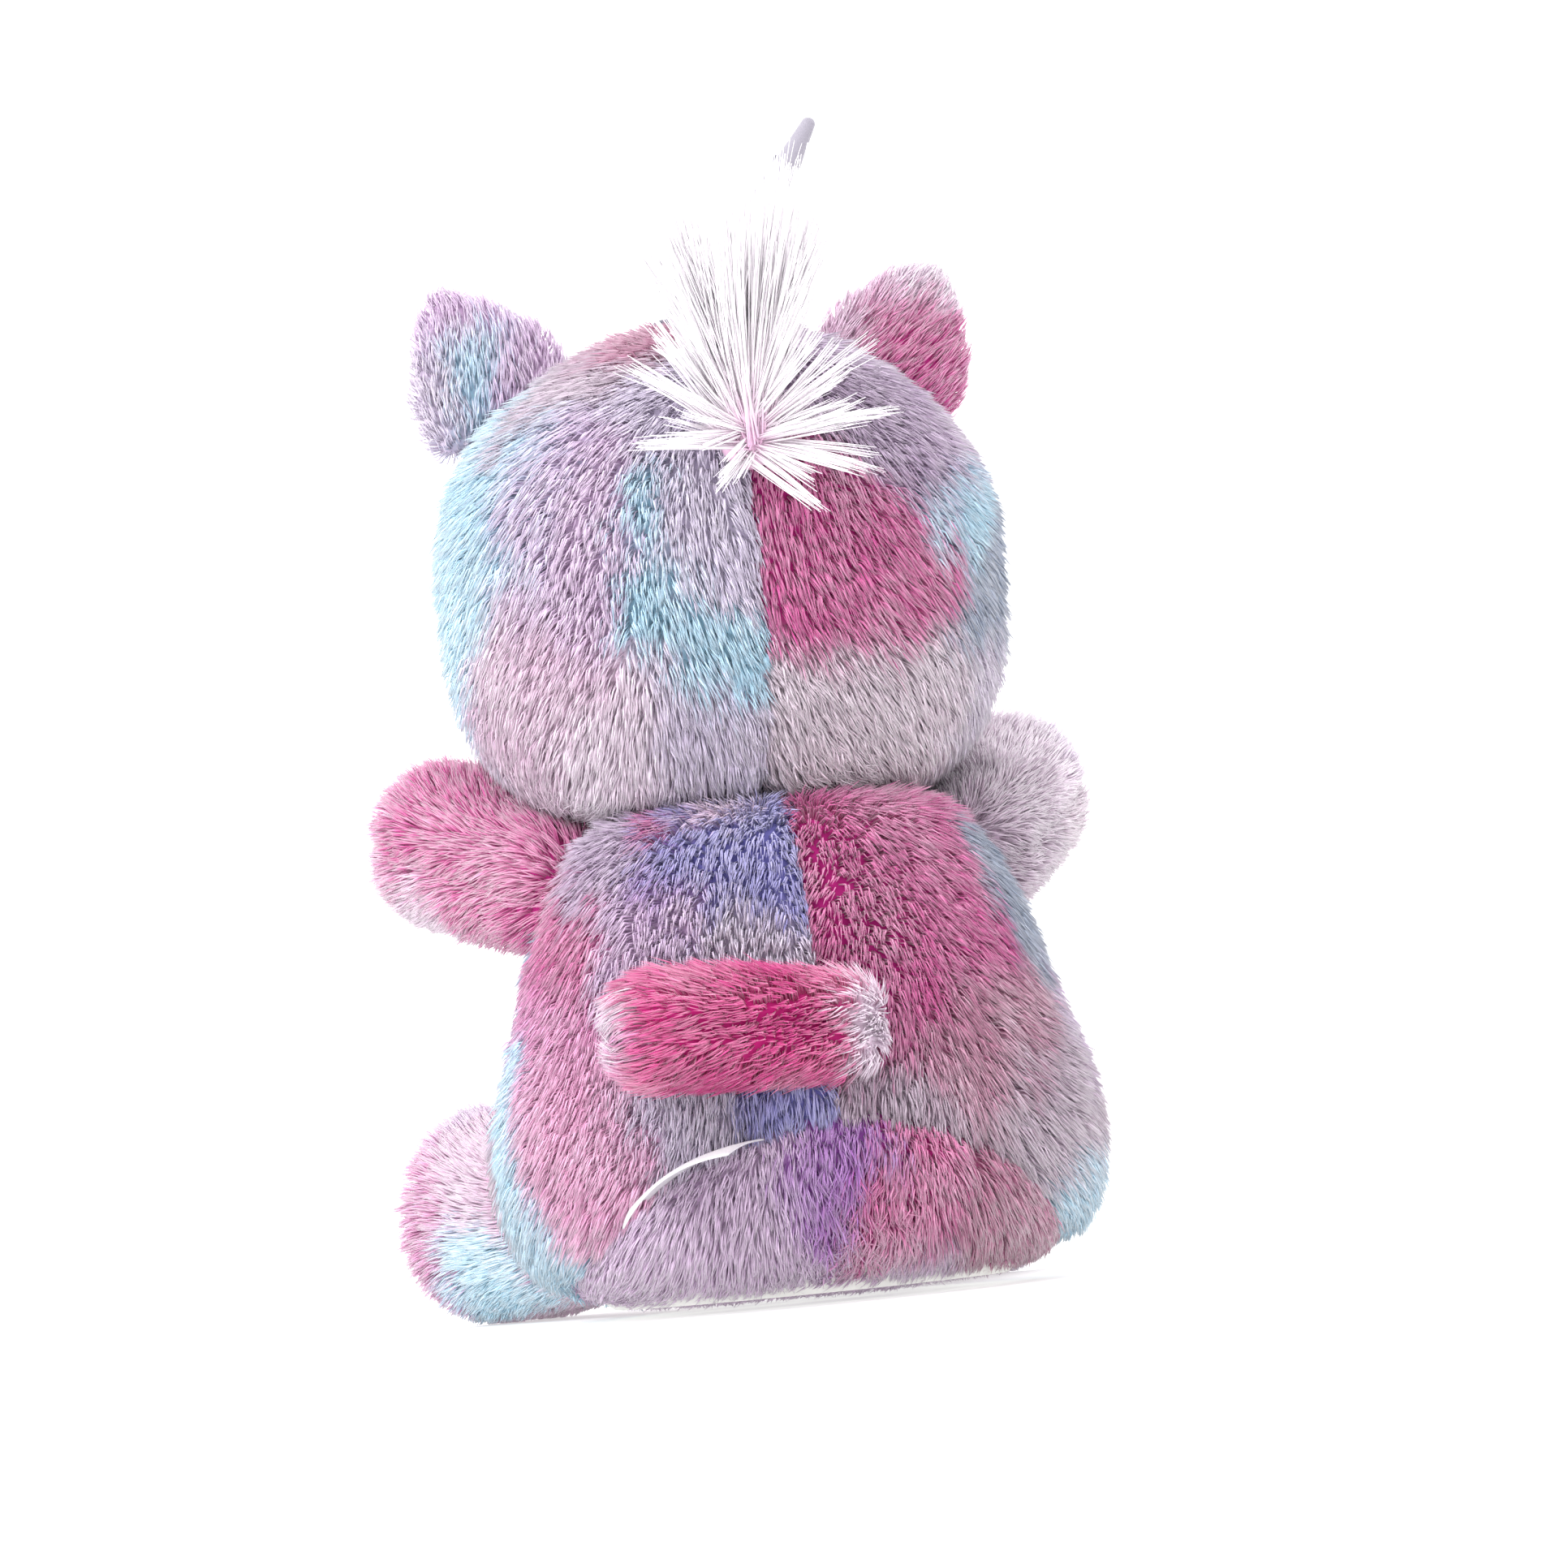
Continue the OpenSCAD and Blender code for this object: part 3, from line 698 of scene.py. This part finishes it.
NODE_LOOKS = {
    "stuffing": FILL,
    "pellet_pouch": POUCH,
    "pellets": PELLET,
    "horn_cover": HORN_CLOTH,
    "horn_cord": CORD,
    "eye_washer": WASHER,
    "eye_left": EYE,
    "eye_right": EYE,
    "nostril": THREAD,
    "mouth_stitch": THREAD,
}
for node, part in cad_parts.items():
    for key, look in NODE_LOOKS.items():
        if key in node:
            part.data.materials.clear()
            part.data.materials.append(look)
            break

# ---- Growing the pile on each padded skin ----
DENSITY = 2.4  # tufts to a square millimetre
MOST_TUFTS = 21500  # on one panel; past that they are fewer and thicker
LONG_PILE = dict(
    long=6.6, lift=0.76, width=0.215, clump=13, share=0.42, pale=0.42, slot="dyed_plush"
)
SHORT = dict(long=2.6, lift=0.9, width=0.24, clump=5, share=0.2, pale=0.25)
PANEL_PILE = {
    "muzzle_cover": dict(SHORT, slot="muzzle_velour"),
    "sole": dict(SHORT, long=1.7, slot="sole_velour"),
    "lining": dict(SHORT, slot="ear_lining"),
    "back": dict(LONG_PILE, long=5.2, lift=0.66),
    "tail_upper": dict(LONG_PILE, lift=0.6, pale=0.24),
    "tail_under": dict(LONG_PILE, lift=0.6, pale=0.24),
}


SWIRL, SWIRL_SCALE = 0.28, 16  # how far the lie of the pile wanders, and over what distance
STRAY = 0.14  # how far single tufts stray from that lie
AT_SEAM, SEAM_REACH = 0.62, 3.5  # how much of its length the pile keeps at a seam
AT_FLOOR, FLOOR_TOP, FLOOR_REACH = 0.55, 4, 10  # and close to the floor
ROOT_SUNK = 0.4
RING_PALE_AND_ROOT_SHADE = ((0.0, 0.94), (0.55, 1.0))  # how pale each ring of a tuft is, and how bright; the root ring is darkened a little by painted shade, as deep in the pile


def scattered(points, normals, faces, area, count):
    """Random places on the faces, and the way out of the skin at each."""
    pick = rng.choice(len(faces), count, p=area / area.sum())
    a, b = rng.random((2, count, 1))
    flip = a + b > 1
    a, b = np.where(flip, 1 - a, a), np.where(flip, 1 - b, b)
    blend = np.concatenate([1 - a - b, a, b], axis=1)[:, :, None]
    root = (points[faces][pick] * blend).sum(axis=1)
    normal = (normals[faces[pick]] * blend).sum(axis=1)
    return root, normal / length(normal)[:, None]


def tuft_lie(root, normal, comb_at):
    """The way each tuft is combed, along the skin."""
    comb = comb_at(root) + SWIRL * wobble(root, SWIRL_SCALE) + rng.normal(0, STRAY, root.shape)
    comb -= (comb * normal).sum(axis=1, keepdims=True) * normal
    return comb / np.maximum(length(comb), 1e-6)[:, None]


def tuft_colours(root, lead, patches, paleness):
    """The dye at a tuft's root, darkened a little there by painted shade, fading to a pale tip.
    Tufts of one clump are alike.
    """
    count = len(root)
    dye = dye_at(root, patches)
    tone = (rng.normal(1, 0.06, count)[lead] * rng.normal(1, 0.04, count))[:, None]
    white = 0.7 * linear(TIP_WHITE) + 0.3 * dye
    pale = paleness + 0.12 * wobble(root, 6)[:, 1] + rng.normal(0, 0.08, count)
    pale = pale.clip(0.1, 0.8)
    colours = np.empty((count, TUFT_POINTS, 3))
    # The root ring is a little darker: painted shade, where the tufts would shade one another.
    for ring, (fade, shade) in enumerate(RING_PALE_AND_ROOT_SHADE):
        mixed = dye * tone * shade * (1 - pale * fade)[:, None] + white * (pale * fade)[:, None]
        colours[:, ring * 3 : ring * 3 + 3] = mixed[:, None, :]
    colours[:, -1] = dye * tone * (1 - pale)[:, None] + white * pale[:, None]
    return colours.clip(0, 1)


def grow(node, kind, body, points, normals, faces, comb_at, patches, bare, seam_tree):
    """Makes one panel: its patch of skin and the pile on it."""
    pile = PANEL_PILE.get(kind, LONG_PILE)
    corner = points[faces]
    area = length(np.cross(corner[:, 1] - corner[:, 0], corner[:, 2] - corner[:, 0])) / 2
    wanted = area.sum() * DENSITY
    count = int(min(wanted, MOST_TUFTS))
    thick = pile["width"] * math.sqrt(wanted / count)
    root, normal = scattered(points, normals, faces, area, count)
    keep = ~bare(root)
    root, normal = root[keep], normal[keep]
    count = len(root)

    comb = tuft_lie(root, normal, comb_at)
    away = np.array([seam_tree.find(p)[2] for p in root])
    short = AT_SEAM + (1 - AT_SEAM) * np.clip(away / SEAM_REACH, 0, 1)
    short *= AT_FLOOR + (1 - AT_FLOOR) * np.clip((root[:, 2] - FLOOR_TOP) / FLOOR_REACH, 0, 1)
    long = pile["long"] * short * rng.normal(1, 0.14, count).clip(0.6, 1.4)
    lift = pile["lift"] + 0.12 * wobble(root, 9)[:, 0] + rng.normal(0, 0.10, count)
    paths = tuft_paths(root - normal * ROOT_SUNK, normal, comb, long, lift.clip(0.2, 1.4))
    paths, lead = gathered(paths, root, pile["clump"], pile["share"])
    tufts = tuft_mesh(paths, thick * rng.normal(1, 0.15, count).clip(0.6, 1.5))
    colours = tuft_colours(root, lead, patches, pile["pale"])

    used, skin_faces = np.unique(faces, return_inverse=True)
    skin = points[used]
    made = fabric_object(
        node + "_fabric",
        tufts,
        colours,
        skin,
        skin_faces.reshape(-1, 3),
        dye_at(skin, patches),
        PILE if pile["slot"] == "dyed_plush" else VELOUR,
    )
    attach(made, body)
    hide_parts(node)
    return made


def combed(outward, down=1.0, forward=0.0):
    """Pile that lies down the body and spreads away from its middle."""
    return lambda p: np.stack(
        [outward * p[:, 0] / 55, np.full(len(p), -forward), np.full(len(p), -down)], axis=1
    )


def combed_along(direction, side=1):
    """Pile that lies along a limb toward its end."""
    run = np.array(direction, float) / np.linalg.norm(direction) * [side, 1, 1]
    return lambda p: np.tile(run, (len(p), 1)) + [0, 0, -0.25]


def no_bare(p):
    return np.zeros(len(p), bool)


LIMB_SUNK = 1.5


def torso_bare(p):
    """Places inside the sockets, where a limb covers the skin."""
    bare = ball(p, TAIL, TAIL_R0 + BARE_ROOM["tail"]) < 0
    for side in (-1, 1):
        mirror = np.array([side, 1, 1])
        bare |= ball(p, mirror * SHOULDER, ARM_R0 + BARE_ROOM["shoulder"]) < 0
        bare |= ball(p, mirror * HIP, LEG_R0 + BARE_ROOM["hip"]) < 0
    return bare | (ball(p, NECK, NECK_R + BARE_ROOM["neck"]) < 0)


def head_bare(p):
    """Places under the eyes, the horn and the neck."""
    bare = ball(p, HORN, HORN_R + BARE_ROOM["horn"]) < 0
    bare |= ball(p, NECK, NECK_R + BARE_ROOM["neck"]) < 0
    for side in (-1, 1):
        bare |= ball(p, (HEAD_X + side * EYE_AT[0], *EYE_AT[1:]), EYE_R) < 0
    return bare


def in_torso(p):
    """The part of a limb's root that is inside the body's socket."""
    return torso_form(p) < -LIMB_SUNK


def patches_of(skin, kind, panels):
    """The patches of a panel. The belly and face have the back's patches, turned half around."""
    if kind in ("muzzle_cover", "sole", "lining"):
        return PATCHES["velour"]
    if kind in ("belly_panel", "face_panel"):
        return [((-x, -y, z), r, dye) for (x, y, z), r, dye in PATCHES[skin]]
    if skin not in ("torso", "head"):
        return PATCHES[skin]
    at = panels(np.array([place for place, _, _ in PATCHES[skin]], float))
    return [patch for patch, panel in zip(PATCHES[skin], at) if panel == kind]


def make_skin(skin, form, centre, level, panels, comb_at, bare, side=1, middle=0, prefix=""):
    """Builds one padded skin and grows the pile of each of its panels."""
    points, triangles = star_skin(form, centre, level)
    panel = panels(points[triangles].mean(axis=1))
    if side < 0:
        points, triangles = mirrored_in(middle, points), triangles[:, ::-1]
    seams = seam_points(triangles, panel)
    points = puffed(skin, points, triangles, seams)
    normals = normals_of(points, triangles)
    points, tree = grooved(points, normals, seams)
    normals = normals_of(points, triangles)
    for kind in sorted(set(panel.tolist())):
        faces = triangles[panel == kind]
        patches = patches_of(skin, kind, panels)
        grow(prefix + kind, kind, skin, points, normals, faces, comb_at, patches, bare, tree)


make_skin("torso", torso, (0, 0, 50), 6, torso_panels, combed(0.55), torso_bare)
make_skin("head", head, (HEAD_X, -10, 150), 6, head_panels, combed(0.5), head_bare)
make_skin("tail", tail, (16, 55.3, 55.5), 5, tail_panels, combed_along(TAIL_DIR), in_torso)
for name, side in (("left", 1), ("right", -1)):
    limb_at, leg_at, ear_at = f"arm_{name}", f"leg_{name}", f"ear_{name}"
    arm_comb = combed_along(ARM_DIR, side)
    leg_comb = combed_along(LEG_DIR, side)
    ear_comb = combed_along((0.5, 0, 0.86), side)
    arm_args = (arm_panels, arm_comb, in_torso, side, 0, limb_at + "_")
    leg_args = (leg_panels, leg_comb, in_torso, side, 0, leg_at + "_")
    ear_args = (ear_panels, ear_comb, no_bare, side, HEAD_X, ear_at + "_")
    make_skin(limb_at, arm, (52, -29, 97), 5, *arm_args)
    make_skin(leg_at, leg, (45, -66, 23), 5, *leg_args)
    make_skin(ear_at, ear, (HEAD_X + 47, -18, 201), 5, *ear_args)

# ---- Mane: stiff fibres that fan out of a knot ----
# Seen from behind, an angle of 0 points up and a positive one to the right: the least and
# greatest angle, how many ribbons of fibre, how many fibres in each, their length, and how far
# they stand out of the head.
MANE = [
    (-25, 21, 330, 11, 58, 0.22),
    (-72, -30, 10, 13, 38, 0.40),
    (-100, -76, 5, 12, 26, 0.50),
    (-152, -108, 5, 11, 17, 0.65),
    (24, 62, 8, 13, 33, 0.45),
    (64, 98, 6, 13, 29, 0.50),
    (98, 144, 8, 12, 26, 0.60),
]
MANE_STEPS = 5
MANE_ROOT_OUT = 3  # how far behind the middle of the knot the fibres start
MANE_ROOT, MANE_TIP = linear((222, 178, 208)), linear((255, 250, 255))
RING = (0, 2.1, 4.2)  # angles of the three corners of a fibre's section


def mane_paths():
    """Each fibre's stations, half width and tone. The fibres of one ribbon run close together."""
    fibres_made = []
    for low, high, ribbons, fibres, long, out in MANE:
        for _ in range(ribbons):
            angle = math.radians(rng.uniform(low, high))
            stand = max(0.05, rng.normal(out, 0.10))
            size = long * rng.uniform(0.74, 1.05)
            root = np.array(KNOT) + [0, MANE_ROOT_OUT, 0] + rng.normal(0, 1.2, 3)
            bend = rng.normal(0, 0.06, 3) + [0, 0.04, -0.04]
            for _ in range(fibres):
                turn = angle + rng.normal(0, 0.022)
                way = np.array([-math.sin(turn), stand + rng.normal(0, 0.04), math.cos(turn)])
                way /= np.linalg.norm(way)
                t = np.linspace(0, 1, MANE_STEPS)[:, None]
                reach = size * rng.uniform(0.82, 1.0)
                start = root + rng.normal(0, 0.45, 3)
                path = start + reach * (way * t + (bend + rng.normal(0, 0.02, 3)) * t**2)
                fibres_made.append((path, rng.uniform(0.20, 0.40), rng.uniform(0.94, 1.0)))
    return fibres_made


def mane_object():
    """One mesh of all the fibres, with a colour at each point."""
    points, faces, colours = [], [], []
    for path, wide, tone in mane_paths():
        run = path[-1] - path[0]
        run /= np.linalg.norm(run)
        side = np.cross(run, [0, 1, 0] + rng.normal(0, 0.4, 3))
        side /= np.linalg.norm(side)
        other = np.cross(run, side)
        base = len(points)
        for k, place in enumerate(path):
            t = k / (MANE_STEPS - 1)
            taper = wide * (1 - 0.75 * t)
            root_share = (1 - t) ** 5
            for turn in RING:
                out = side * math.cos(turn) + 0.45 * other * math.sin(turn)
                points.append(place + out * taper)
                colours.append((MANE_ROOT * root_share + MANE_TIP * (1 - root_share)) * tone)
        for k in range(MANE_STEPS - 1):
            for c in range(3):
                a, b = base + 3 * k + c, base + 3 * k + (c + 1) % 3
                faces.append((a, b, b + 3, a + 3))
        tip = base + 3 * (MANE_STEPS - 1)
        faces.append((tip, tip + 1, tip + 2))
    mesh = bpy.data.meshes.new("mane_fibres")
    mesh.from_pydata((np.array(points) * MM).tolist(), [], faces)
    mesh.shade_smooth()
    shade = mesh.attributes.new("dye", "FLOAT_COLOR", "POINT")
    rgba = np.concatenate([np.array(colours), np.ones((len(colours), 1))], axis=1)
    shade.data.foreach_set("color", rgba.astype(np.float32).ravel())
    layer = mesh.uv_layers.new(name="OFBake")
    per_row = math.ceil(math.sqrt(len(faces)))
    uv = []
    for i, face in enumerate(faces):
        square = [(0.1, 0.1), (0.9, 0.1), (0.9, 0.9), (0.1, 0.9)][: len(face)]
        uv += [((i % per_row + u) / per_row, (i // per_row + v) / per_row) for u, v in square]
    layer.uv.foreach_set("vector", np.array(uv, np.float32).ravel())
    mesh.materials.append(FIBRE)
    made = bpy.data.objects.new("mane_fibres", mesh)
    bpy.context.scene.collection.objects.link(made)
    return made


mane = mane_object()
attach(mane, "head")
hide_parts("mane_tuft")
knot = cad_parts["mane_knot"]
knot.data.materials.clear()
knot.data.materials.append(plain_material("mane_knot", (226, 186, 212), 0.5, grain=1800, depth=0.6))


# ---- Care label: a satin ribbon that bows along the seam and droops at its free edge ----
LABEL_ARCH = 1.9  # how far the middle bows up, along the curved seam
LABEL_DROOP = 6.0  # how far the low corner of the free edge hangs down
LABEL_THICK = 0.35


def label_object():
    turn, fall = math.radians(LABEL_TURN), math.radians(LABEL_FALL)
    hem = Matrix.Rotation(turn, 3, "Z") @ Matrix.Rotation(fall, 3, "Y")
    across, out = 20, 16
    points, faces = [], []
    for j in range(out + 1):
        away = j / out
        for i in range(across + 1):
            u = i / across
            x = LABEL_W * (u - 0.5) * (1 - 0.045 * away**2)
            y = LABEL_L * away
            bow = LABEL_ARCH * (1 - (2 * u - 1) ** 2)
            hang = LABEL_DROOP * away**2 * (0.42 + 0.58 * u**3)
            points.append((hem @ Vector((x, y, bow - hang)) + Vector(LABEL)) * MM)
    for j in range(out):
        for i in range(across):
            a = j * (across + 1) + i
            faces.append((a, a + 1, a + across + 2, a + across + 1))
    mesh = bpy.data.meshes.new("care_label_ribbon")
    mesh.from_pydata(points, [], faces)
    mesh.shade_smooth()
    mesh.materials.append(SATIN)
    made = bpy.data.objects.new("care_label_ribbon", mesh)
    bpy.context.scene.collection.objects.link(made)
    thick = made.modifiers.new("Ribbon", "SOLIDIFY")
    thick.thickness = LABEL_THICK * MM
    thick.offset = 0
    return made


label = label_object()
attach(label, "label")
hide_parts("care_label")

# ---- Floor, light and camera ----
bpy.ops.mesh.primitive_plane_add(size=6, location=(0, 0, 0))
floor = bpy.context.object
floor.name = "floor"
floor_look, floor_nodes, _ = new_material("floor_paper")
paper = floor_nodes["Principled BSDF"].inputs
paper["Base Color"].default_value = (0.6, 0.6, 0.6, 1)
paper["Emission Color"].default_value = (1, 1, 1, 1)
paper["Emission Strength"].default_value = 0.5
paper["Roughness"].default_value = 0.9
paper["Specular IOR Level"].default_value = 0.0
floor.data.materials.append(floor_look)

world = bpy.data.worlds.new("studio")
bpy.context.scene.world = world
world.use_nodes = True
world.node_tree.nodes["Background"].inputs["Color"].default_value = (1, 1, 1, 1)
world.node_tree.nodes["Background"].inputs["Strength"].default_value = 2.0


def area_light(name, place, aim, size, power):
    """A square lamp that faces a place."""
    data = bpy.data.lights.new(name, "AREA")
    data.size = size
    data.energy = power
    lamp = bpy.data.objects.new(name, data)
    lamp.location = place
    lamp.rotation_euler = (Vector(aim) - Vector(place)).to_track_quat("-Z", "Y").to_euler()
    bpy.context.scene.collection.objects.link(lamp)


area_light("key", (1.1, 0.7, 0.9), (0, 0, 0.12), 0.7, 14)
area_light("front_fill", (-0.6, -1.2, 0.8), (0, 0, 0.12), 1.0, 6)

AZIMUTH, ELEVATION, ROLL = math.radians(170), math.radians(-4.8), math.radians(5.6)
AIM, DISTANCE = Vector((-0.0045, 0, 0.1074)), 1.0
camera_data = bpy.data.cameras.new("camera")
camera_data.lens = 110
camera_data.sensor_width = 36
camera_data.clip_start = 0.01
camera = bpy.data.objects.new("camera", camera_data)
toward = Vector(
    (
        math.sin(AZIMUTH) * math.cos(ELEVATION),
        -math.cos(AZIMUTH) * math.cos(ELEVATION),
        math.sin(ELEVATION),
    )
)
camera.location = AIM + toward * DISTANCE
look = (-toward).to_track_quat("-Z", "Y").to_matrix().to_4x4()
camera.matrix_world = Matrix.Translation(camera.location) @ look @ Matrix.Rotation(-ROLL, 4, "Z")
bpy.context.scene.collection.objects.link(camera)
bpy.context.scene.camera = camera
bpy.context.scene.view_settings.view_transform = "Standard"
